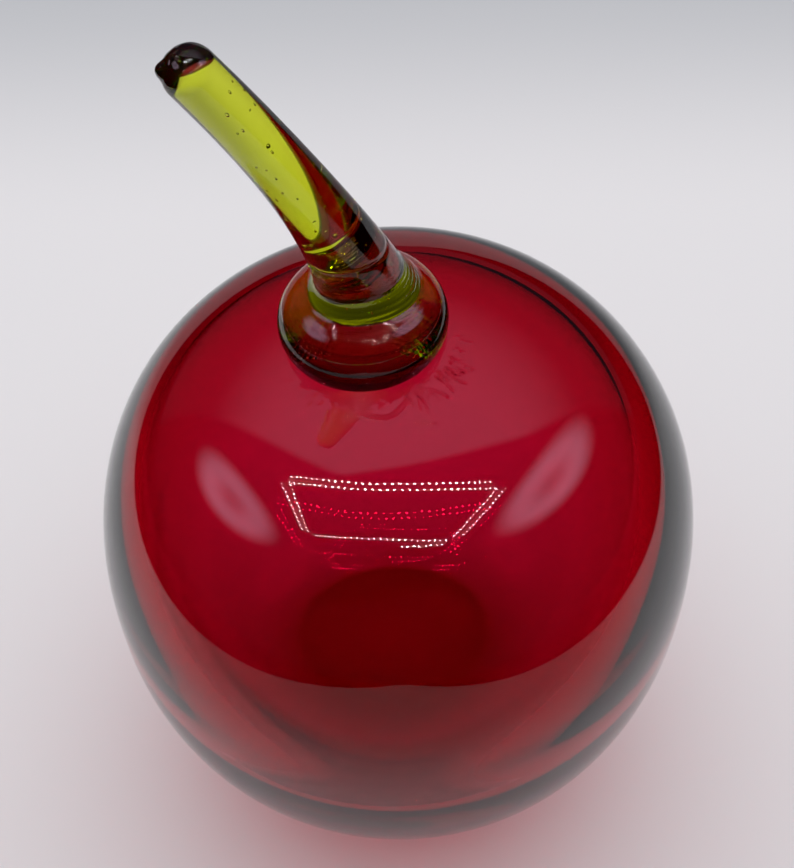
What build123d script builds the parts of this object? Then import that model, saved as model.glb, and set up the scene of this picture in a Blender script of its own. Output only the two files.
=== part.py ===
from build123d import *
import math
import os

# A free-blown glass apple, in millimetres. The origin is the middle of the ground face that it
# stands on, +Z is up, and the stem leans towards -X.
# Three glasses were fused while hot: a thick clear outer gather, a thin ruby bubble inside it
# that holds sealed air, and a green bit on top that was pulled out into the stem.

# Clear outer glass
body_radius = 44.0
shoulder_height = 45.0
shoulder_fullness = 2.55
base_depth = 45.0
ground_cut = 4.9
underside_fullness = 2.08
arris = 0.5
pontil_radius = 12.5
pontil_depth = 1.4

# Ruby bubble, with the clear wall beside and above it and the clear glass under it
side_wall = 5.0
bubble_left = 0.9
bubble_sink = 0.4
top_wall = 5.1
bubble_fullness_share = 1.15
bubble_underside_fullness = 2.05
floor_thickness = 11.6
ruby_thickness = 0.9

# Foot of the stem, a hot bit that settled into a round cushion off the apple's axis
foot_left = 4.2
foot_back = 7.6
foot_radius = 11.4
foot_half_height = 7.2
foot_lift = 1.6
foot_turn = 40

# Stem, pulled out of the foot
stem_root_right = 1.4
stem_root_back = 1.6
stem_height = 47.3
stem_lean = 18.9
stem_forward_lean = 2.7
stem_curl = 1.45
stem_root_diameter = 15.0
stem_neck_diameter = 7.0
stem_tip_diameter = 6.6
stem_taper = 2.5
tip_dome = 3.2
nub_radius = 0.95
nub_reach = 2.15
nub_stand = 1.95

# The underside was blown round, and its lowest part was ground away
underside_height = base_depth + ground_cut

# The bubble follows the body, with a fuller shoulder
bubble_radius = body_radius - side_wall
bubble_fullness = shoulder_fullness * bubble_fullness_share

# Levels above the ground face
widest_level = base_depth
top_level = widest_level + shoulder_height
bubble_level = widest_level - bubble_sink
bubble_top = top_level - top_wall
bubble_bottom = floor_thickness

profile_steps = 9
stem_sections = 8


def superellipse(radius, height, fullness, angle):
    """A point of a superellipse quarter: its distance from the axis and from the widest level."""
    across = radius * math.cos(angle) ** (2 / fullness)
    along = height * math.sin(angle) ** (2 / fullness)
    return across, along


def shoulder_points(radius, height, fullness, level):
    """A round shoulder as points, from the widest level up to the axis."""
    points = []
    for step in range(profile_steps):
        angle = math.pi / 2 * step / profile_steps
        across, along = superellipse(radius, height, fullness, angle)
        points.append((across, level + along))
    points.append((0, level + height))
    return points


def ground_face_angle():
    """Where the round underside meets the ground face, as an angle of its superellipse."""
    return math.asin((base_depth / underside_height) ** (underside_fullness / 2))


def underside_points():
    """The round underside as points, from the ground face up to the widest level."""
    last = ground_face_angle()
    points = []
    for step in range(profile_steps, -1, -1):
        angle = last * step / profile_steps
        across, along = superellipse(body_radius, underside_height, underside_fullness, angle)
        points.append((across, widest_level - along))
    return points


def turned(lines):
    """A solid of revolution about Z from the edges of a closed half outline in X and Z."""
    outline = Wire(lines)
    face = Plane.XZ * make_face(outline.edges())
    return revolve(face, Axis.Z)


def outer_body():
    """The apple's outside as one solid, with its ground face and the dish of the pontil mark."""
    underside = underside_points()
    shoulder = shoulder_points(body_radius, shoulder_height, shoulder_fullness, widest_level)
    start = Vector(*underside[1]) - Vector(*underside[0])
    dish_middle = pontil_radius / 2
    dish_sphere = (pontil_radius ** 2 + pontil_depth ** 2) / (2 * pontil_depth)
    dish_rise = pontil_depth - dish_sphere + math.sqrt(dish_sphere ** 2 - dish_middle ** 2)
    lines = [
        ThreePointArc((0, pontil_depth), (dish_middle, dish_rise), (pontil_radius, 0)),
        Line((pontil_radius, 0), underside[0]),
        Spline(underside, tangents=(start, (0, 1))),
        Spline(shoulder, tangents=((0, 1), (-1, 0))),
        Line(shoulder[-1], (0, pontil_depth)),
    ]
    body = turned(lines)
    ground_edges = body.edges().filter_by(GeomType.CIRCLE).group_by(Axis.Z)[0]
    return chamfer(ground_edges, arris)


def bubble(inset):
    """The bubble as one solid, a little off the axis. An inset gives the air that it holds."""
    radius = bubble_radius - inset
    depth = bubble_level - bubble_bottom - inset
    height = bubble_top - bubble_level - inset
    upper = shoulder_points(radius, height, bubble_fullness, bubble_level)
    lower = shoulder_points(radius, -depth, bubble_underside_fullness, bubble_level)
    lower.reverse()
    lines = [
        Spline(lower, tangents=((1, 0), (0, 1))),
        Spline(upper, tangents=((0, 1), (-1, 0))),
        Line(upper[-1], lower[0]),
    ]
    return Pos(-bubble_left, 0, 0) * turned(lines)


def foot_seat():
    """The plane that touches the apple under the middle of the foot, with its normal outwards."""
    reach = math.hypot(foot_left, foot_back)
    share = reach / body_radius
    drop_share = (1 - share ** shoulder_fullness) ** (1 / shoulder_fullness)
    level = widest_level + shoulder_height * drop_share
    slope = shoulder_height / body_radius * (share / drop_share) ** (shoulder_fullness - 1)
    normal = Vector(-foot_left / reach * slope, foot_back / reach * slope, 1)
    return Plane(origin=(-foot_left, foot_back, level), z_dir=normal.normalized())


def ellipsoid(radius, half_height):
    """A ball about the origin, flattened or drawn out along Z."""
    spread = radius / half_height
    return scale(Sphere(half_height), by=(spread, spread, 1))


def foot_ball():
    """The flattened ball of the foot, before the apple is cut out of its underside."""
    # A turn about its own axis keeps the ball's seam away from the seam of the stem.
    ball = Rot(0, 0, foot_turn) * ellipsoid(foot_radius, foot_half_height)
    return foot_seat() * Pos(0, 0, foot_lift) * ball


def stem_point(share):
    """A point of the stem's middle line, at a share of its height."""
    lean = share ** stem_curl
    return Vector(
        stem_root_right - foot_left - stem_lean * lean,
        foot_back + stem_root_back - stem_forward_lean * lean,
        foot_seat().origin.Z + stem_height * share,
    )


def stem_direction(share):
    """The direction of the stem's middle line there."""
    lean = stem_curl * share ** (stem_curl - 1)
    return Vector(-stem_lean * lean, -stem_forward_lean * lean, stem_height).normalized()


def stem_diameter(share):
    """The stem is wide at its root, thins out to its neck and narrows once more at the tip."""
    flare = (stem_root_diameter - stem_neck_diameter) * (1 - share) ** stem_taper
    end = (stem_neck_diameter - stem_tip_diameter) * share ** (2 * stem_taper)
    return stem_neck_diameter + flare - end


def stem_plane(share):
    """The plane across the stem there."""
    return Plane(origin=stem_point(share), x_dir=(0, 1, 0), z_dir=stem_direction(share))


def stem_rod():
    """The pulled rod of the stem, from inside the foot up to where its end rounds over."""
    sections = []
    for step in range(stem_sections + 1):
        share = step / stem_sections
        sections.append(stem_plane(share) * Circle(stem_diameter(share) / 2))
    return loft(sections)


def stem_end():
    """The fire-polished end of the stem: a dome, and the nub where the shears cut it off."""
    radius = stem_diameter(1) / 2
    dome = stem_plane(1) * ellipsoid(radius, tip_dome)
    nub = stem_plane(1) * Pos(0, nub_reach, nub_stand) * Sphere(nub_radius)
    return dome + nub


def green_stem(body):
    """The foot and the stem in one piece, with the apple's top cut out of their underside."""
    foot = foot_ball() - body
    stem = stem_rod() + stem_end() - body
    return foot + stem


def one_solid(shape):
    """The single solid of a shape."""
    return shape.solids()[0]


body = outer_body()
ruby_outside = bubble(0)
air = bubble(ruby_thickness)

nodes = {
    "clear_casing": body - ruby_outside,
    "ruby_bubble": ruby_outside - air,
    "green_stem": green_stem(body),
}

os.makedirs("parts", exist_ok=True)
for name, shape in nodes.items():
    solid = one_solid(shape)
    export_step(solid, f"parts/{name}.step")
    box = solid.bounding_box()
    print(name, len(shape.solids()), "solid", round(solid.volume), "mm3", box.min, box.max)
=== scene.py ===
# %% [markdown]
# # An art glass apple
#
# The apple is free-blown. Its maker blew a thin ruby bubble, took up a thick coat of clear glass over
# it, shaped the whole into an apple, and last of all dropped a hot bit of yellow-green glass on top,
# which settled into a foot and was pulled out into a curled stem. This lesson rebuilds the three
# glasses as three closed meshes. Light then does what it does in the real thing: it bends at the
# outside, loses its green and blue in the ruby, and bends again at the air inside.
#
# The frame comes first. It is the measured model, in metres, with Z up, and it says how large each
# piece is and where it stands.

# %% The frame and the tools
import math

import bpy
import numpy as np
from mathutils import Matrix, Vector


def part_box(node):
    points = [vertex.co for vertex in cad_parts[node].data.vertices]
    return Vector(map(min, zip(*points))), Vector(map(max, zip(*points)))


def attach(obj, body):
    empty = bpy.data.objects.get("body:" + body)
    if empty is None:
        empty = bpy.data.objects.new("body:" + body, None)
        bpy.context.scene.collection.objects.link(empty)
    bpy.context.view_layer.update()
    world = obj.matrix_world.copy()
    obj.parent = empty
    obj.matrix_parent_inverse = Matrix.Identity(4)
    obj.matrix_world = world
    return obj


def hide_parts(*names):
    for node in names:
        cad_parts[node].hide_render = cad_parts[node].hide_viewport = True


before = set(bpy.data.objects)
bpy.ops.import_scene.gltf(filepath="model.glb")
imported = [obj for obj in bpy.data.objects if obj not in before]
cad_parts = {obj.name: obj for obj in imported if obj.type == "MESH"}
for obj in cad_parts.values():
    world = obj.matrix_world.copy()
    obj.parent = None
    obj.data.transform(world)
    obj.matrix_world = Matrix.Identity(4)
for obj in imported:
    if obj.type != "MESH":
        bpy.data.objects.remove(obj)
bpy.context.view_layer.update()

mm = 0.001
rng = np.random.default_rng(14)
print("pieces in the frame:", sorted(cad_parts))

# %% [markdown]
# The outside of the body is a superellipse turned about Z: a circle whose sides are a little fuller.
# One fullness serves the shoulder and another the underside. Radius and height are read from the
# frame, and only what the frame's box can't tell is written here.

# %% The outside of the clear glass
casing_low, casing_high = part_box("clear_casing")
body_radius = (casing_high.x - casing_low.x) / 2
body_top = casing_high.z
widest_level = 45.0 * mm
shoulder_height = body_top - widest_level
shoulder_fullness = 2.55
underside_height = widest_level + 4.9 * mm
underside_fullness = 2.08
arris = 0.5 * mm
pontil_radius = 12.5 * mm
pontil_depth = 1.4 * mm


def superellipse(radius, height, fullness, angles):
    """Points of a superellipse quarter, as distance from the axis and height over the widest level."""
    across = radius * np.cos(angles) ** (2 / fullness)
    along = height * np.sin(angles) ** (2 / fullness)
    return np.stack([across, along], 1)


def evenly(points, steps):
    """The same line through a new number of points, evenly spaced along it."""
    run = np.concatenate([[0], np.cumsum(np.linalg.norm(np.diff(points, axis=0), axis=1))])
    at = np.linspace(0, run[-1], steps + 1)
    return np.stack([np.interp(at, run, points[:, 0]), np.interp(at, run, points[:, 1])], 1)


print("body", round(2 * body_radius / mm, 2), "mm across and", round(body_top / mm, 2), "mm high")

# %% [markdown]
# A lathe profile is drawn from the middle of the dish underneath, out over the ground face and up to
# the top. The rings lie closer together on the top, because the chill wrinkles beside the stem are
# shaped in the mesh there and need several rings each.

# %% The profile from the dish to the top
profile_points = 1500
fine_ring = 0.14 * mm
plain_ring = 0.75 * mm
fine_top_radius = 26.0 * mm


def body_profile():
    """The half outline of the clear glass, from the middle of the dish up to the top of the body."""
    ground_angle = math.asin((widest_level / underside_height) ** (underside_fullness / 2))
    under = superellipse(
        body_radius,
        underside_height,
        underside_fullness,
        np.linspace(ground_angle, 0, profile_points),
    )
    under[:, 1] = widest_level - under[:, 1]
    shoulder = superellipse(
        body_radius,
        shoulder_height,
        shoulder_fullness,
        np.linspace(0, math.pi / 2, profile_points),
    )
    shoulder[:, 1] += widest_level
    ground_radius = under[0, 0]
    sphere = (pontil_radius**2 + pontil_depth**2) / (2 * pontil_depth)
    dish_angles = np.linspace(0, math.asin(pontil_radius / sphere), profile_points)
    dish = np.stack(
        [sphere * np.sin(dish_angles), pontil_depth - sphere * (1 - np.cos(dish_angles))], 1
    )
    flat = np.array([[pontil_radius, 0], [ground_radius - arris, 0]])
    rise = under[np.searchsorted(under[:, 1], arris) :]
    side = np.concatenate([rise, shoulder[1:]])
    split = np.searchsorted(-side[profile_points:, 0], -fine_top_radius) + profile_points
    lower, upper = side[: split + 1], side[split:]

    def rings(points, spacing):
        length = np.linalg.norm(np.diff(points, axis=0), axis=1).sum()
        return evenly(points, max(1, round(length / spacing)))

    parts = [rings(dish, plain_ring), rings(flat, plain_ring), rings(lower, plain_ring)]
    parts.append(rings(upper, fine_ring))
    line = [parts[0]]
    for part in parts[1:]:
        same = np.allclose(line[-1][-1], part[0])
        line.append(part[1:] if same else part)
    return np.concatenate(line)


outer_line = body_profile()
print("outside profile has", len(outer_line), "points")

# %% [markdown]
# Two helpers turn lines into meshes. One sews rings of points together with quads and closes each end
# with a fan. The other gathers such shells into one mesh, so that a piece with a cavity is one object
# with two closed skins. The skin of a cavity is turned inside out: its normals point into the air,
# which is what tells the renderer on which side the glass is.

# %% Sewing rings into closed skins
def turn(line, segments):
    """Rings of points from a half outline turned about Z, without its two ends on the axis."""
    angles = np.linspace(0, 2 * math.pi, segments, endpoint=False)
    inner = line[1:-1]
    x = inner[:, :1] * np.cos(angles)
    y = inner[:, :1] * np.sin(angles)
    z = np.repeat(inner[:, 1:], segments, axis=1)
    return np.stack([x, y, z], 2)


def sew(rings, first, last):
    """Vertices and faces of a closed skin: rings of points, and one point at either end."""
    count, around = rings.shape[:2]
    verts = np.concatenate([[first], rings.reshape(-1, 3), [last]])
    index = 1 + np.arange(count * around).reshape(count, around)
    side = np.roll(index, -1, axis=1)
    quads = np.stack([index[:-1], side[:-1], side[1:], index[1:]], 2).reshape(-1, 4)
    start = np.stack([np.zeros(around, int), side[0], index[0]], 1)
    end = np.stack([index[-1], side[-1], np.full(around, len(verts) - 1)], 1)
    return verts, [*map(tuple, start), *map(tuple, quads), *map(tuple, end)]


def piece(name, skins, node):
    """One object from closed skins. Each tells, at its vertices, how firmly it is fused (above 0)."""
    verts, faces, fused, base = [], [], [], 0
    for skin_verts, skin_faces, inside_out, skin_fused in skins:
        for face in skin_faces:
            turned = face[::-1] if inside_out else face
            faces.append([base + corner for corner in turned])
        fused.append(np.broadcast_to(skin_fused, len(skin_verts)))
        verts.append(skin_verts)
        base += len(skin_verts)
    mesh = bpy.data.meshes.new(name)
    mesh.from_pydata(np.concatenate(verts).tolist(), [], faces)
    mesh.attributes.new("fused", "FLOAT", "POINT")
    mesh.attributes["fused"].data.foreach_set("value", np.concatenate(fused).astype(np.float32))
    mesh.shade_smooth()
    made = bpy.data.objects.new(name, mesh)
    bpy.context.scene.collection.objects.link(made)
    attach(made, "root")
    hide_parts(node)
    print(name, "has", len(mesh.vertices), "vertices and", len(faces), "faces")
    return made


# %% [markdown]
# Glass that is blown and turned by hand is never quite round. A few slow swells, some hundredths of a
# millimetre high, are enough to make the reflections on it drift as they do on the real apple. They
# fade out at the top, where the stem sits.

# %% Slow swells in the blown surface
swell_height = 0.045 * mm
swell_count = 7
swell_turns = rng.integers(2, 7, swell_count)
swell_phases = rng.uniform(0, 2 * math.pi, (swell_count, 2))
swell_climbs = rng.uniform(60, 190, swell_count)
swell_from = 14 * mm
swell_to = 26 * mm
swell_level = 6 * mm


def swell(points):
    """How far the blown surface stands out at each point, from slow waves around and upwards."""
    around = np.arctan2(points[..., 1], points[..., 0])
    total = np.zeros(points.shape[:-1])
    for turns, phases, climb in zip(swell_turns, swell_phases, swell_climbs):
        wave = np.sin(turns * around + phases[0] + climb * points[..., 2])
        total += wave * np.sin(climb * points[..., 2] + phases[1])
    across = np.hypot(points[..., 0], points[..., 1])
    away = np.clip((across - swell_from) / (swell_to - swell_from), 0, 1)
    away = away * np.clip(points[..., 2] / swell_level, 0, 1)
    return swell_height * total / math.sqrt(swell_count) * away * away * (3 - 2 * away)


print("the surface swells by up to about", round(2 * swell_height / mm, 2), "mm")

# %% [markdown]
# The stem's foot sits on the top of the body, left of and behind its middle. It is a flattened ball,
# level with the body's surface there. The stem is a rod along a curved middle line, thick at the root.
# Both are written as a gap: the distance from a point to the surface, negative inside. Gaps can be
# joined with a soft minimum, which pours a fillet between the two, as hot glass does.

# %% The stem and its foot as a gap
foot_middle = np.array([-4.2, 7.6]) * mm
foot_radius = 11.4 * mm
foot_half_height = 7.2 * mm
foot_lift = 1.6 * mm
root_offset = np.array([1.4, 1.6]) * mm
stem_height = 47.3 * mm
stem_lean = np.array([-18.9, -2.7]) * mm
stem_curl = 1.45
root_diameter = 15.0 * mm
neck_diameter = 7.0 * mm
tip_diameter = 6.6 * mm
stem_taper = 2.5
tip_dome = 3.2 * mm
nub_radius = 0.95 * mm
nub_reach = 2.15 * mm
nub_stand = 1.95 * mm
nub_fillet = 0.6 * mm
fillet = 2.6 * mm
fillet_from = 5.0 * mm
fillet_to = 8.0 * mm
line_searches = 3


def body_height(x, y):
    """The height of the round top of the body over a point of the ground."""
    share = np.clip(np.hypot(x, y) / body_radius, 0, 1)
    return widest_level + shoulder_height * (1 - share**shoulder_fullness) ** (1 / shoulder_fullness)


def unit(vectors):
    """Vectors of length one."""
    return vectors / np.linalg.norm(vectors, axis=-1, keepdims=True)


step = 0.01 * mm
slope_x = (body_height(foot_middle[0] + step, foot_middle[1]) - body_height(*foot_middle)) / step
slope_y = (body_height(foot_middle[0], foot_middle[1] + step) - body_height(*foot_middle)) / step
seat = np.array([*foot_middle, body_height(*foot_middle)])
seat_up = unit(np.array([-slope_x, -slope_y, 1.0]))


def stem_line(share):
    """Points of the stem's middle line at shares of its height."""
    share = np.asarray(share)[..., None]
    across = foot_middle + root_offset + stem_lean * np.maximum(share, 0) ** stem_curl
    return np.concatenate([across, seat[2] + stem_height * share], -1)


def stem_run(share):
    """The direction in which the middle line runs, not of length one."""
    share = np.asarray(share)[..., None]
    across = stem_lean * stem_curl * np.maximum(share, 0) ** (stem_curl - 1)
    return np.concatenate([across, np.full(share.shape, stem_height)], -1)


def stem_radius(share):
    """The rod is thick at its root, thins to its neck and a little more towards the tip."""
    flare = (root_diameter - neck_diameter) * (1 - share) ** stem_taper
    end = (neck_diameter - tip_diameter) * share ** (2 * stem_taper)
    return (neck_diameter + flare - end) / 2


def blob_gap(points, axes):
    """Nearly the distance to an ellipsoid about the origin."""
    near = np.linalg.norm(points / axes, axis=-1)
    steep = np.linalg.norm(points / axes**2, axis=-1)
    return near * (near - 1) / np.maximum(steep, 1e-9)


def soft_least(a, b, blend):
    """The lesser of two gaps, with a fillet where they are about equal."""
    near = np.maximum(blend - np.abs(a - b), 0)
    return np.minimum(a, b) - near**2 / (4 * np.maximum(blend, 1e-9))


tip = stem_line(1.0)
tip_up = unit(stem_run(1.0))
nub_side = unit(np.cross(tip_up, [0, 1, 0]))
nub_middle = tip + nub_reach * nub_side + nub_stand * tip_up
tip_axes = np.array([tip_diameter / 2, tip_diameter / 2, tip_dome])


def foot_gap(points):
    """The distance to the foot's flattened ball."""
    local = points - seat - foot_lift * seat_up
    up = local @ seat_up
    flat = local - up[..., None] * seat_up
    across = np.linalg.norm(flat, axis=-1)
    level = np.stack([across, np.zeros_like(across), up], -1)
    return blob_gap(level, np.array([foot_radius, foot_radius, foot_half_height]))


def rod_gap(points):
    """The distance to the pulled rod with its round end and its nub."""
    share = np.clip((points[..., 2] - seat[2]) / stem_height, 0, 1)
    for _ in range(line_searches):
        run = stem_run(share)
        off = ((points - stem_line(share)) * run).sum(-1)
        share = np.clip(share + off / (run * run).sum(-1), 0, 1)
    side = np.linalg.norm(points - stem_line(share), axis=-1) - stem_radius(share)
    local = points - tip
    up = local @ tip_up
    across = np.linalg.norm(local - up[..., None] * tip_up, axis=-1)
    cap = blob_gap(np.stack([across, np.zeros_like(across), up], -1), tip_axes)
    rod = np.where(up > 0, cap, side)
    nub = np.linalg.norm(points - nub_middle, axis=-1) - nub_radius
    return soft_least(rod, nub, nub_fillet)


def stem_gap(points):
    """The distance to the whole green glass, with the fillet that grows above the seat."""
    up = (points - seat) @ seat_up
    amount = np.clip((up - fillet_from) / (fillet_to - fillet_from), 0, 1)
    return soft_least(foot_gap(points), rod_gap(points), fillet * amount)


print("the foot's seat is at", (seat / mm).round(2), "mm and leans", seat_up.round(3))

# %% [markdown]
# The skin of the stem is found by shooting. From points on its middle line, rays go out in fans, and
# each stops where the gap is zero. That gives clean rings of quads from the foot's edge to the tip,
# with no seam between foot and stem. The lowest ring is where the foot meets the body, and inside it
# the underside follows the body a hair above it.

# %% Shooting rays at the gap
stem_segments = 224
hair = 0.015 * mm
shot_far = 16 * mm
halvings = 30


def shoot(origins, directions, far, gap):
    """Where rays from inside the glass leave it, by halving."""
    near_end = np.zeros(directions.shape[:-1])
    far_end = np.full(directions.shape[:-1], far)
    for _ in range(halvings):
        middle = (near_end + far_end) / 2
        inside = gap(origins + directions * middle[..., None]) < 0
        near_end = np.where(inside, middle, near_end)
        far_end = np.where(inside, far_end, middle)
    return origins + directions * far_end[..., None]


def around(up, angles):
    """Directions square to an axis, one for each angle. The first leans towards X."""
    first = unit(np.array([1.0, 0, 0]) - up[0] * up)
    second = np.cross(up, first)
    return np.cos(angles)[:, None] * first + np.sin(angles)[:, None] * second


stem_angles = np.linspace(0, 2 * math.pi, stem_segments, endpoint=False)


def on_body(flat):
    """Points a hair above the body, over points of the ground."""
    return np.concatenate([flat, (body_height(flat[..., 0], flat[..., 1]) + hair)[..., None]], -1)


def contact_ring():
    """The ring in which the foot's ball meets the body."""
    ways = unit(around(seat_up, stem_angles)[:, :2])

    def gap(flat):
        return stem_gap(on_body(flat))

    return on_body(shoot(foot_middle, ways, shot_far, gap))


contact = contact_ring()
print("the foot touches over", (np.ptp(contact[:, 0]) / mm).round(2), "mm")

# %% [markdown]
# Above the contact the fans go out in four runs: over the foot from one point inside it, through the
# fillet from points that climb towards the stem's middle line, straight across the rod, and around the
# rounded tip. Their tilt changes slowly from run to run, so the quads stay even.

# %% Rings from the contact up to the tip
foot_rings = 70
fillet_rings = 70
rod_rings = 250
tip_rings = 50
foot_eye = seat + 0.9 * foot_lift * seat_up
foot_end_angle = math.radians(16)
fillet_tilt = math.radians(20)
rod_from_share = 0.26
tip_from_share = 0.965


def stem_rings():
    """All rings of the stem's skin above the contact."""
    spread = contact - foot_eye
    rise = spread @ seat_up
    way = unit(spread - rise[:, None] * seat_up)
    start = np.arctan2(rise, np.linalg.norm(spread - rise[:, None] * seat_up, axis=1))
    plain_way = around(seat_up, stem_angles)
    origins, directions = [], []
    for share in np.linspace(0, 1, foot_rings + 1)[1:]:
        angle = start + (foot_end_angle - start) * share
        mixed = unit(way + (plain_way - way) * share)
        origins.append(np.repeat(foot_eye[None], stem_segments, 0))
        directions.append(np.cos(angle)[:, None] * mixed + np.sin(angle)[:, None] * seat_up)
    for share in np.linspace(0, 1, fillet_rings + 1)[1:]:
        goal = stem_line(rod_from_share * share)
        origin = foot_eye + (goal - foot_eye) * share
        up = unit(seat_up + (unit(stem_run(rod_from_share)) - seat_up) * share)
        lift = fillet_tilt * math.sin(math.pi * share) ** 2
        angle = (foot_end_angle + lift) * (1 - share)
        side = around(up, stem_angles)
        origins.append(np.repeat(origin[None], stem_segments, 0))
        directions.append(math.cos(angle) * side + math.sin(angle) * up)
    for share in np.linspace(rod_from_share, tip_from_share, rod_rings + 1)[1:]:
        side = around(unit(stem_run(share)), stem_angles)
        origins.append(np.repeat(stem_line(share)[None], stem_segments, 0))
        directions.append(side)
    up = unit(stem_run(tip_from_share))
    side = around(up, stem_angles)
    for angle in np.linspace(0, math.pi / 2, tip_rings + 1)[1:-1]:
        origins.append(np.repeat(stem_line(tip_from_share)[None], stem_segments, 0))
        directions.append(math.cos(angle) * side + math.sin(angle) * up)
    last = shoot(stem_line(tip_from_share), up, shot_far, stem_gap)
    rings = shoot(np.array(origins), np.array(directions), shot_far, stem_gap)
    return rings, last


raised, tip_point = stem_rings()
print("the stem has", len(raised), "rings, and its tip is at", (tip_point / mm).round(2), "mm")

# %% [markdown]
# The foot didn't stick everywhere. Its front half fused with the apple, but behind a wavy line, and in
# wrinkled specks at both sides, a film of air stayed between the glasses. Light is totally reflected
# there, and that gives the black mirror, the lime line and the gold sparkle that show in the foot. One
# function says where the glasses hold together, and both skins read it.

# %% Where the foot is fused, and where it isn't
film_from = 8.1 * mm
film_waves = [(0.35 * mm, 1500.0, 0.4), (0.16 * mm, 5200.0, 1.9)]
speck_waves = [(6100.0, 2300.0, 0.3), (2900.0, -7400.0, 1.1)]
speck_amount = 0.35
speck_from = 2.6 * mm
speck_to = 4.6 * mm
speck_back_from = 2.5 * mm
speck_back_to = 4.5 * mm


def hold(points):
    """How well the two glasses hold together at each point: above 0, they are fused."""
    x = points[:, 0] - foot_middle[0]
    y = points[:, 1]
    line = film_from + sum(high * np.sin(rate * x + phase) for high, rate, phase in film_waves)
    specks = np.ones(len(points))
    for rate_x, rate_y, phase in speck_waves:
        specks = specks * np.sin(rate_x * x + rate_y * y + phase)
    at_side = np.clip((np.abs(x) - speck_from) / (speck_to - speck_from), 0, 1)
    at_back = np.clip((y - speck_back_from) / (speck_back_to - speck_back_from), 0, 1)
    return np.minimum((line - y) / mm, 0.5 - at_side * at_back * (0.5 + specks) / speck_amount)


print("the film of air starts about", round(film_from / mm, 1), "mm behind the body's middle")

# %% [markdown]
# The pulled glass keeps the marks of its making. The jacks left fine rings where the stem grows out of
# the foot, a sharper ring stands a little higher, and shallow flutes run along the stem where it was
# stretched. All of it is a displacement of a few hundredths of a millimetre along the normals.

# %% Tool marks in the stem's skin
jack_level = 9.4 * mm
jack_width = 2.0 * mm
jack_pitch = 0.62 * mm
jack_height = 0.055 * mm
collar_level = 15.2 * mm
collar_width = 0.35 * mm
collar_height = 0.10 * mm
flute_height = 0.018 * mm
flute_from = 9.0 * mm
flute_to = 17.0 * mm


def ring_normals(rings):
    """Normals of a skin of rings."""
    along = np.gradient(rings, axis=0)
    across = np.roll(rings, -1, axis=1) - np.roll(rings, 1, axis=1)
    return unit(np.cross(across, along))


def tool_marks(rings):
    """How far the marks stand out at each point of the stem."""
    up = (rings - seat) @ seat_up
    angle = np.broadcast_to(stem_angles, up.shape)
    drift = 0.25 * mm * np.sin(angle + 0.6) + 0.12 * mm * np.sin(3 * angle + 1.9)
    level = up + drift
    jack = np.exp(-(((level - jack_level) / jack_width) ** 2))
    jack = jack * np.sin(2 * math.pi * level / jack_pitch + 0.8 * np.sin(2 * angle))
    collar = np.exp(-(((level - collar_level) / collar_width) ** 2))
    grown = np.clip((up - flute_from) / (flute_to - flute_from), 0, 1)
    flute = np.sin(5 * angle + 40 * up) + 0.6 * np.sin(9 * angle - 55 * up + 1)
    return jack_height * jack - collar_height * collar + flute_height * grown * flute


marked = tool_marks(raised)
raised = raised + ring_normals(raised) * marked[..., None]
print("the tool marks reach from", (marked.min() / mm).round(3), "to", (marked.max() / mm).round(3), "mm")

# %% [markdown]
# The underside of the foot lies a hair above the body, so that the two skins never cut each other. It
# is a disc of rings inside the contact. With it, the stem's skin is closed.

# %% The underside of the foot, and the whole skin
under_rings = 48
shares = np.linspace(0, 1, under_rings + 1)[1:]
middle_flat = foot_middle[None, None]
spread_flat = (contact[None, :, :2] - middle_flat) * shares[:, None, None]
underside = on_body(middle_flat + spread_flat)
underside[-1] = contact
stem_skin_rings = np.concatenate([underside, raised])
stem_verts, stem_faces = sew(stem_skin_rings, on_body(foot_middle), tip_point)
stem_fused = np.full(len(stem_verts), -1.0)
under = slice(0, 1 + stem_segments * (under_rings - 1))
stem_fused[under] = np.minimum(1.0, hold(stem_verts[under]))
stem_fused[under.stop : under.stop + stem_segments] = 0.0
print("the stem's skin has", len(stem_verts), "vertices")

# %% [markdown]
# The green glass is full of seeds, small bubbles that were drawn into dashes when the stem was pulled.
# Each is a tiny ellipsoid turned inside out, along the run of the glass.

# %% Seeds in the green glass
seed_count = 64
seed_length = (0.10 * mm, 0.42 * mm)
seed_width = 0.11 * mm
seed_sides = 10
seed_rings = 5
seed_shares = (0.06, 0.93)
seed_spread = 0.82


def seed(middle, up, length, width):
    """One seed as a closed skin about its middle."""
    angles = np.linspace(0, math.pi, seed_rings + 2)[1:-1]
    side = around(up, np.linspace(0, 2 * math.pi, seed_sides, endpoint=False))
    rings = [middle - math.cos(a) * length * up + math.sin(a) * width * side for a in angles]
    return sew(np.array(rings), middle - length * up, middle + length * up)


def seeds():
    """Seeds scattered along the stem and across it."""
    skins = []
    for _ in range(seed_count):
        share = rng.uniform(*seed_shares)
        up = unit(stem_run(share))
        out = math.sqrt(rng.uniform(0, 1)) * seed_spread * stem_radius(share)
        side = around(up, np.array([rng.uniform(0, 2 * math.pi)]))[0]
        length = rng.uniform(*seed_length)
        middle = stem_line(share) + side * out
        skins.append((*seed(middle, up, length, seed_width), True, -1.0))
    return skins


stem = piece(
    "green_stem_glass",
    [(stem_verts, stem_faces, False, stem_fused), *seeds()],
    "green_stem",
)

# %% [markdown]
# The hot foot chilled the top of the apple as it landed, and the skin of the clear glass wrinkled in
# front of it: one curl like a C, a fan of short strokes to the right, and small ones all around. Each
# is a low, beaded ridge in the mesh. Its steep sides mirror another part of the studio than the glass
# around it does, and that is what makes it show.

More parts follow.
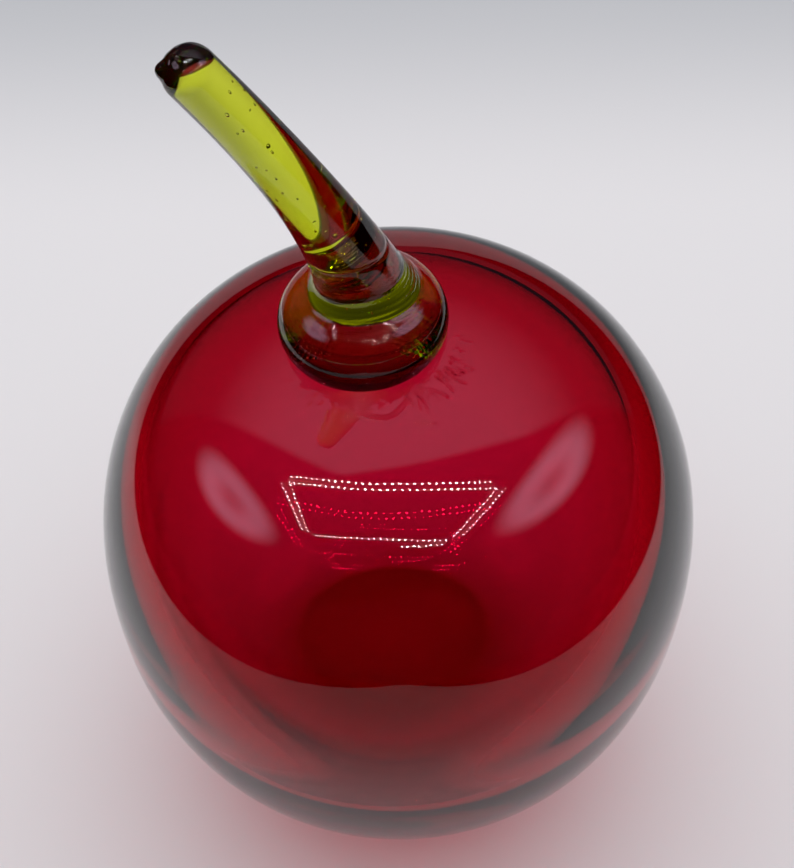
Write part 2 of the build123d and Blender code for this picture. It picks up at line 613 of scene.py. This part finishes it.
# %% Chill wrinkles in front of the foot
curl = [(-5.7, -4.6), (-4.9, -3.7), (-3.9, -4.1), (-3.1, -5.2), (-3.8, -6.1), (-4.7, -6.5)]
curl += [(-3.2, -7.1), (-1.5, -7.3), (-0.2, -6.8), (0.6, -5.9), (1.4, -4.8), (1.5, -3.9), (2.2, -2.3)]
curl_height = 0.13 * mm
curl_width = 0.25 * mm
stroke_height = 0.085 * mm
stroke_width = 0.18 * mm
bead_rate = 2 * math.pi / (0.75 * mm)
bead_share = 0.55
fan_strokes = 20
small_strokes = 34
small_share = 0.5
line_strokes = [
    [(2.5, -8.0), (5.1, -8.1)],
    [(-12.4, -1.7), (-11.0, -2.5)],
    [(-10.4, -2.6), (-8.4, -3.4)],
]
wrinkle_reach = 20 * mm
stroke_scatter = 1.5
stroke_bend = 25


def fan(count, angles, from_reach, lengths, tilt):
    """Short strokes that run out from the foot's edge, as lines of three points in millimetres."""
    strokes = []
    for _ in range(count):
        angle = math.radians(rng.uniform(*angles))
        reach = from_reach + rng.uniform(0, stroke_scatter)
        length = rng.uniform(*lengths)
        lean = angle + math.radians(rng.uniform(-tilt, tilt))
        bend = lean + math.radians(rng.uniform(-stroke_bend, stroke_bend))
        at = foot_middle / mm + reach * np.array([math.cos(angle), math.sin(angle)])
        middle = at + length / 2 * np.array([math.cos(lean), math.sin(lean)])
        end = middle + length / 2 * np.array([math.cos(bend), math.sin(bend)])
        strokes.append([at, middle, end])
    return strokes


def from_line(flat, line):
    """The distance of points of the ground to a line of points."""
    best = np.full(flat.shape[:-1], np.inf)
    line = np.array(line) * mm
    for start, end in zip(line[:-1], line[1:]):
        run = end - start
        share = np.clip(((flat - start) @ run) / (run @ run), 0, 1)
        best = np.minimum(best, np.linalg.norm(flat - start - share[..., None] * run, axis=-1))
    return best


fan_lines = fan(fan_strokes, angles=(-66, -22), from_reach=12.2, lengths=(1.2, 3.4), tilt=35)
small_lines = fan(small_strokes, angles=(-150, -5), from_reach=12.0, lengths=(0.5, 1.6), tilt=60)


def wrinkles(points):
    """How far the chill wrinkles stand out at each point of the body."""
    flat = points[..., :2]
    height = np.zeros(flat.shape[:-1])
    near = np.linalg.norm(flat - foot_middle, axis=-1) < wrinkle_reach
    near = near & (points[..., 2] > widest_level)
    spot = flat[near]
    total = curl_height * np.exp(-((from_line(spot, curl) / curl_width) ** 2))
    for line in fan_lines + line_strokes:
        total += stroke_height * np.exp(-((from_line(spot, line) / stroke_width) ** 2))
    for line in small_lines:
        total += small_share * stroke_height * np.exp(-((from_line(spot, line) / stroke_width) ** 2))
    beads = np.sin(spot[:, 0] * bead_rate) * np.sin(spot[:, 1] * bead_rate + 1)
    height[near] = total * (1 + bead_share * beads)
    return height


def blown_surface(points):
    """The swells and the wrinkles together."""
    return swell(points) + wrinkles(points)


print("strokes beside the foot:", len(fan_lines) + len(small_lines) + len(line_strokes))

# %% [markdown]
# The clear glass is one mesh with two skins: the outside, and the cavity that the ruby bubble fills.
# Each vertex of the outside also stores how firmly it is fused. That is above 0 only under the foot,
# where no film of air parts the two glasses, and the material lets light go straight on there.

# %% The clear glass
casing_segments = 560
bubble_segments = 320
bubble_rings = 220
bubble_points = 1200
bubble_low, bubble_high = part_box("ruby_bubble")
bubble_radius = (bubble_high.x - bubble_low.x) / 2
bubble_shift = (bubble_high.x + bubble_low.x) / 2
bubble_level = widest_level - 0.4 * mm
bubble_fullness = shoulder_fullness * 1.15
bubble_underside_fullness = 2.05
ruby_thickness = 0.9 * mm
skin_gap = 0.02 * mm


def bubble_line(inset):
    """The half outline of the bubble from its bottom to its top, drawn in by an inset."""
    radius = bubble_radius - inset
    depth = bubble_level - bubble_low.z - inset
    height = bubble_high.z - bubble_level - inset
    angles = np.linspace(0, math.pi / 2, bubble_points)
    lower = superellipse(radius, -depth, bubble_underside_fullness, angles)[::-1]
    upper = superellipse(radius, height, bubble_fullness, angles)
    whole = np.concatenate([lower, upper[1:]])
    whole[:, 1] += bubble_level
    return evenly(whole, bubble_rings)


def turned_skin(line, segments, off_axis=0.0, rise=None):
    """A closed skin from a half outline, moved off the axis, and raised by a function of its place."""
    rings = turn(line, segments)
    if rise is not None:
        rings = rings + ring_normals(rings) * rise(rings)[..., None]
    rings[..., 0] += off_axis
    return sew(rings, [off_axis, 0, line[0, 1]], [off_axis, 0, line[-1, 1]])


outer_verts, outer_faces = turned_skin(outer_line, casing_segments, rise=blown_surface)
cavity_verts, cavity_faces = turned_skin(bubble_line(0), bubble_segments, bubble_shift)
outer_fused = np.full(len(outer_verts), -1.0)
on_top = outer_verts[:, 2] > widest_level
top_verts = outer_verts[on_top]
outer_fused[on_top] = np.minimum(-stem_gap(top_verts) / mm, hold(top_verts))
casing = piece(
    "clear_casing_glass",
    [(outer_verts, outer_faces, False, outer_fused), (cavity_verts, cavity_faces, True, 1.0)],
    "clear_casing",
)

# %% [markdown]
# The ruby bubble lies a hair inside the clear glass. Its outside is fused, and its inside is the
# surface between glass and air that gives the second, red reflection of every lamp.

# %% The ruby bubble
ruby_verts, ruby_faces = turned_skin(bubble_line(skin_gap), bubble_segments, bubble_shift)
air_verts, air_faces = turned_skin(bubble_line(ruby_thickness), bubble_segments, bubble_shift)
ruby = piece(
    "ruby_bubble_glass",
    [(ruby_verts, ruby_faces, False, 1.0), (air_verts, air_faces, True, -1.0)],
    "ruby_bubble",
)

# %% [markdown]
# Materials are node trees, and this class makes them read like sums. It wraps one socket. Adding,
# subtracting or multiplying wrapped sockets adds the Math nodes, and `add` makes any other node: first
# its settings, then a value or a link for each of its sockets.

# %% A shader socket that sums like a number
class Signal:
    """One socket of a node tree, or only the tree where nothing is made yet."""

    def __init__(self, tree, socket=None):
        self.tree = tree
        self.socket = socket

    def add(self, kind, settings=None, values=None, output=0):
        """A new node in the same tree. Gives one of its outputs, if it has any."""
        node = self.tree.nodes.new(kind)
        for name, value in (settings or {}).items():
            setattr(node, name, value)
        for name, value in (values or {}).items():
            if isinstance(value, Signal):
                self.tree.links.new(value.socket, node.inputs[name])
            else:
                node.inputs[name].default_value = value
        return Signal(self.tree, node.outputs[output] if node.outputs else None)

    def maths(self, operation, *values):
        """A Math node on wrapped sockets or numbers."""
        return self.add("ShaderNodeMath", {"operation": operation}, dict(enumerate(values)))

    def __add__(self, other):
        return self.maths("ADD", self, other)

    def __sub__(self, other):
        return self.maths("SUBTRACT", self, other)

    def __mul__(self, other):
        return self.maths("MULTIPLY", self, other)

    def __rsub__(self, other):
        return self.maths("SUBTRACT", other, self)

    def __gt__(self, other):
        return self.maths("GREATER_THAN", self, other)

    def __lt__(self, other):
        return self.maths("LESS_THAN", self, other)

    __radd__ = __add__
    __rmul__ = __mul__

    def size(self):
        """The value without its sign."""
        return self.maths("ABSOLUTE", self)

    def root(self):
        """The square root."""
        return self.maths("SQRT", self)

    def at_least(self, least):
        """The value, or the least one where it is lower."""
        return self.maths("MAXIMUM", self, least)

    def soft_step(self, start, end):
        """0 at the start and 1 at the end, with a smooth rise between them."""
        values = {"Value": self, "From Min": start, "From Max": end}
        return self.add("ShaderNodeMapRange", {"interpolation_type": "SMOOTHSTEP"}, values)

    def mix(self, first, second):
        """The first colour where this is 0, and the second where it is 1."""
        values = {0: self, 6: first, 7: second}
        return self.add("ShaderNodeMix", {"data_type": "RGBA"}, values, output=2)

    def along(self, axis):
        """How far this vector reaches along an axis."""
        values = {0: self, 1: tuple(axis)}
        return self.add("ShaderNodeVectorMath", {"operation": "DOT_PRODUCT"}, values, output="Value")


print("sockets can be added, subtracted, multiplied and compared")

# %% [markdown]
# Coloured glass is coloured in its depth, not on its surface. Volume Absorption takes a share of each
# colour per millimetre of path, so a thick place is darker than a thin one, as in the real glass. The
# shader wants a colour and a density, and both are worked out here from what each channel loses.
#
# Where two glasses are fused, nothing bends or reflects. The vertices carry that as an attribute, and
# it chooses between glass and a surface that lets light straight through. The surface itself is fire
# polished, so it is quite smooth: its rings, flutes, wrinkles and swells are all in the mesh.

# %% Glass that absorbs, and is clear where it is fused
glass_index = 1.5
clear_losses = (0.0012, 0.0008, 0.0010)
ruby_losses = (0.36, 3.2, 1.95)
green_losses = (0.050, 0.036, 0.42)


def new_material(name):
    """A material with an empty tree, and a signal to start from."""
    material = bpy.data.materials.new(name)
    material.use_nodes = True
    material.node_tree.nodes.clear()
    return material, Signal(material.node_tree)


def glass(name, losses):
    """Fire-polished glass with a loss of each colour per millimetre."""
    material, start = new_material(name)
    values = {
        "Base Color": (1, 1, 1, 1),
        "Roughness": 0.0,
        "IOR": glass_index,
        "Transmission Weight": 1.0,
    }
    against_air = start.add("ShaderNodeBsdfPrincipled", None, values)
    straight_on = start.add("ShaderNodeBsdfTransparent", None, {"Color": (1, 1, 1, 1)})
    depth = start.add("ShaderNodeAttribute", {"attribute_name": "fused"}, output=2)
    surface = start.add("ShaderNodeMixShader", None, {0: depth > 0, 1: against_air, 2: straight_on})
    strongest = max(losses)
    colour = [1 - loss / strongest for loss in losses] + [1]
    inside = {"Color": colour, "Density": strongest / mm}
    volume = start.add("ShaderNodeVolumeAbsorption", None, inside)
    start.add("ShaderNodeOutputMaterial", None, {"Surface": surface, "Volume": volume})
    return material


casing.data.materials.append(glass("crystal", clear_losses))
ruby.data.materials.append(glass("gold_ruby", ruby_losses))
stem.data.materials.append(glass("moss_green", green_losses))
for made in (casing, ruby, stem):
    print(made.name, "is of", made.data.materials[0].name)

# %% [markdown]
# The apple stands on a plain pale sheet. Its colour turns darker far behind it: that is painted shade.
# What the glass mirrors or bends is a different stretch of the sheet, and it gets its own painted shade:
# black beyond the sheet's edges, where the room is dark, darker in front, and for mirrored light far
# behind.

# %% The sheet under the apple
sheet_half = 6.0
sheet_drop = 0.01 * mm
sheet_colour = (0.80, 0.785, 0.815, 1)
# Painted shade: the far part of the sheet is given this darker colour.
painted_far_shade_colour = (0.52, 0.53, 0.565, 1)
black = (0, 0, 0, 1)
shade_from = 0.100
shade_to = 0.190
side_edge = (0.25, 0.27)
front_shade = (-0.02, -0.16)
behind_shade = (0.07, 0.20)
bent_front_shade = (-0.03, -0.20)
# Painted shade for mirrored and bent light: how much of the sheet's colour turns to black.
painted_front_shade = 0.5
painted_behind_shade = 0.45
painted_bent_side_shade = 0.85
painted_bent_front_shade = 0.62

corners = [(-1, -1), (1, -1), (1, 1), (-1, 1)]
sheet_mesh = bpy.data.meshes.new("sheet")
sheet_mesh.from_pydata([(x * sheet_half, y * sheet_half, 0) for x, y in corners], [], [(0, 1, 2, 3)])
sheet = bpy.data.objects.new("sheet", sheet_mesh)
bpy.context.scene.collection.objects.link(sheet)
sheet.location.z = -sheet_drop

sheet_material, start = new_material("pale_sheet")
place = start.add("ShaderNodeNewGeometry")
from_right = place.along((1, 0, 0))
from_front = place.along((0, 1, 0))
is_mirrored = start.add("ShaderNodeLightPath", output="Is Glossy Ray")
is_bent = start.add("ShaderNodeLightPath", output="Is Transmission Ray")
# Painted darkness beyond the sheet's side edges, seen only in mirrored and bent light.
painted_side_dark = from_right.size().soft_step(*side_edge)
in_front = from_front.soft_step(*front_shade)
far_behind = from_front.soft_step(*behind_shade)
# Painted shade of the sheet as the glass mirrors it: black beyond its edges, darker in front and far
# behind.
painted_mirrored_shade = 1 - (1 - painted_side_dark) * (1 - painted_front_shade * in_front) * (1 - painted_behind_shade * far_behind)
near_front = from_front.soft_step(*bent_front_shade)
# Painted shadow of the apple where the glass bends light onto the sheet: darker near the front.
painted_bent_shade = 1 - (1 - painted_bent_side_shade * painted_side_dark) * (1 - painted_bent_front_shade * near_front)
# The painted shade of the sheet, for mirrored and bent light only.
loss = is_mirrored * painted_mirrored_shade + is_bent * painted_bent_shade
# Painted shade far behind the apple, for all but bent light.
painted_far_shade_share = from_front.soft_step(shade_from, shade_to) * (1 - is_bent)
colour = loss.mix(painted_far_shade_share.mix(sheet_colour, painted_far_shade_colour), black)
surface = start.add("ShaderNodeBsdfDiffuse", None, {"Color": colour})
start.add("ShaderNodeOutputMaterial", None, {"Surface": surface})
sheet_mesh.materials.append(sheet_material)
print("the sheet is", 2 * sheet_half, "m wide, and its far part falls into shade")

# %% [markdown]
# An LED panel hangs over the table. Its light shows in the glass as dotted lines, once white from the
# outside, and once red from the inside of the bubble. Only glass may see the panel: the camera and the
# sheet don't.

# %% The dotted lamp
white = (1, 1, 1, 1)
lamp_height = 0.300
led_half = 1.1 * mm
led_pitch = 7.2 * mm
led_light = 80.0
led_rows = [
    [(-120, 12), (-32, 0), (108, 0)],
    [(-125, 3), (-33, -9), (113, -10)],
    [(-140, 2), (-132, -37), (-127, -78)],
    [(-125, -1), (-121, -40), (-118, -83)],
    [(115, -11), (90, -50), (66, -93)],
    [(129, -10), (104, -50), (80, -90)],
    [(-108, -88), (-23, -90), (58, -98)],
    [(3, -106), (55, -105)],
]


def led_places(row):
    """Places along a row, one for each LED."""
    row = np.array(row) * mm
    run = np.concatenate([[0], np.cumsum(np.linalg.norm(np.diff(row, axis=0), axis=1))])
    at = np.arange(0, run[-1], led_pitch)
    return np.stack([np.interp(at, run, row[:, 0]), np.interp(at, run, row[:, 1])], 1)


led_middles = np.concatenate([led_places(row) for row in led_rows])
led_verts = []
for x, y in led_middles:
    led_verts += [(x + i * led_half, y + j * led_half, lamp_height) for i, j in corners]
led_faces = [tuple(range(4 * i, 4 * i + 4)) for i in range(len(led_middles))]
lamp_mesh = bpy.data.meshes.new("lamp")
lamp_mesh.from_pydata(led_verts, [], led_faces)
lamp = bpy.data.objects.new("lamp", lamp_mesh)
bpy.context.scene.collection.objects.link(lamp)
lamp.visible_camera = False
lamp.visible_diffuse = False
lamp.visible_shadow = False
lamp_material, start = new_material("led_light")
seen_after_sheet = start.add("ShaderNodeLightPath", output="Diffuse Depth") > 0.5
strength = led_light * (1 - seen_after_sheet)
surface = start.add("ShaderNodeEmission", None, {"Color": white, "Strength": strength})
start.add("ShaderNodeOutputMaterial", None, {"Surface": surface})
lamp_mesh.materials.append(lamp_material)
print("the lamp has", len(led_faces), "LEDs")

# %% [markdown]
# The rest of the light comes from the world. The sheet is lit by a dome of light, stronger from behind,
# so that the apple's shadow falls forwards. The glass mirrors a studio: a pale sweep behind and
# overhead, darkness in front, and a soft glow at either side. The sweep and the glows are written as
# shapes in the space of directions, so they need no objects.

# %% The studio
room_light = 0.015
sweep_light = 0.72
glow_light = 2.2
sweep_low_share = 0.06
sweep_rise = (0.45, 0.92)
sweep_skew = 0.276
sweep_tilt = 0.19
sweep_opening = 1.7
glow_half_width = 0.17
dome_even = 0.06
dome_from_above = 1.25
dome_from_behind = 1.15
dome_least = 0.03
violet = (0.86, 0.70, 1.0, 1)

world = bpy.data.worlds.new("studio")
bpy.context.scene.world = world
world.use_nodes = True
world.cycles.sampling_method = "NONE"
world.node_tree.nodes.clear()
start = Signal(world.node_tree)
way = start.add("ShaderNodeTexCoord", output="Generated")
x, y, z = (way.along(axis) for axis in ((1, 0, 0), (0, 1, 0), (0, 0, 1)))


def direction(azimuth, elevation):
    """A direction from degrees to the right of the front, and degrees up."""
    azimuth, elevation = math.radians(azimuth), math.radians(elevation)
    level = math.cos(elevation)
    return np.array([math.sin(azimuth) * level, -math.cos(azimuth) * level, math.sin(elevation)])


far_off = 10


def oval(first_end, last_end, half_width):
    """How far a direction is from an oval's middle. 1 is its rim."""
    first, last = direction(*first_end), direction(*last_end)
    middle = unit(first + last)
    long_axis = unit(last - first - middle * ((last - first) @ middle))
    short_axis = np.cross(middle, long_axis)
    half_length = np.linalg.norm(last - first) / 2
    a = way.along(long_axis / half_length)
    b = way.along(short_axis / half_width)
    behind = way.along(middle) < 0
    return (a * a + b * b).root() + far_off * behind


def glow(first_end, last_end):
    """An oval light with a pale rim and a darker core."""
    away = oval(first_end, last_end, glow_half_width)
    return away.soft_step(1.15, 0.6) * (0.5 + 0.5 * away.soft_step(0.0, 0.55))


front_edge = (y - sweep_skew * x - sweep_tilt * z).soft_step(-0.02, 0.03)
right_edge = (sweep_opening * y - x).soft_step(-0.06, 0.06)
left_edge = (sweep_opening * y + x).soft_step(-0.06, 0.06)
rise = sweep_low_share + (1 - sweep_low_share) * z.soft_step(*sweep_rise)
sweep = front_edge * right_edge * left_edge * rise
side_glows = glow((-108, 26), (-66, 47)) + glow((116, 28), (62, 56))
studio = room_light + sweep_light * sweep + glow_light * side_glows
is_camera = start.add("ShaderNodeLightPath", output="Is Camera Ray")
after_sheet = start.add("ShaderNodeLightPath", output="Diffuse Depth") > 0.5
dome = (dome_even + dome_from_above * z + dome_from_behind * y).at_least(dome_least)
strength = is_camera + (1 - is_camera) * (after_sheet * dome + (1 - after_sheet) * studio)
in_glass = (1 - is_camera) * (1 - after_sheet)
colour = in_glass.mix(is_camera.mix(white, sheet_colour), violet)
background = start.add("ShaderNodeBackground", None, {"Color": colour, "Strength": strength})
start.add("ShaderNodeOutputWorld", None, {"Surface": background})
print("the studio is made of", len(world.node_tree.nodes), "nodes")

# %% [markdown]
# The camera stands in front and looks down on the apple at 57 degrees, as the photographer did. Its
# place was found by fitting the outline of the apple and its foot.

# %% The camera
view_target = Vector((0, 0, 74.7 * mm))
view_distance = 221.7 * mm
view_elevation = math.radians(57.04)
view_roll = math.radians(-0.92)
lens_length = 66.36
sensor_width = 36
nearest_seen = 0.01
camera_data = bpy.data.cameras.new("camera")
camera_data.lens = lens_length
camera_data.sensor_width = sensor_width
camera_data.clip_start = nearest_seen
camera = bpy.data.objects.new("camera", camera_data)
bpy.context.scene.collection.objects.link(camera)
away = Vector((0, -math.cos(view_elevation), math.sin(view_elevation)))
camera.location = view_target + away * view_distance
turned = (-away).to_track_quat("-Z", "Y").to_matrix() @ Matrix.Rotation(view_roll, 3, "Z")
camera.rotation_euler = turned.to_euler()
bpy.context.scene.camera = camera
print("the camera stands at", tuple(round(value, 3) for value in camera.location))

# %% [markdown]
# Light crosses a dozen surfaces on its way through the three glasses, so the bounce limits go up. The
# plain view transform keeps colours as they are written.

# %% Render settings
scene = bpy.context.scene
scene.view_settings.view_transform = "Standard"
scene.cycles.max_bounces = 32
scene.cycles.transmission_bounces = 32
scene.cycles.glossy_bounces = 16
scene.cycles.transparent_max_bounces = 64
scene.cycles.blur_glossy = 0.0
scene.cycles.sample_clamp_indirect = 0.0
print("light may meet", scene.cycles.max_bounces, "surfaces")

# %% [markdown]
# Last, the view layer is brought up to date.

# %% The end
bpy.context.view_layer.update()
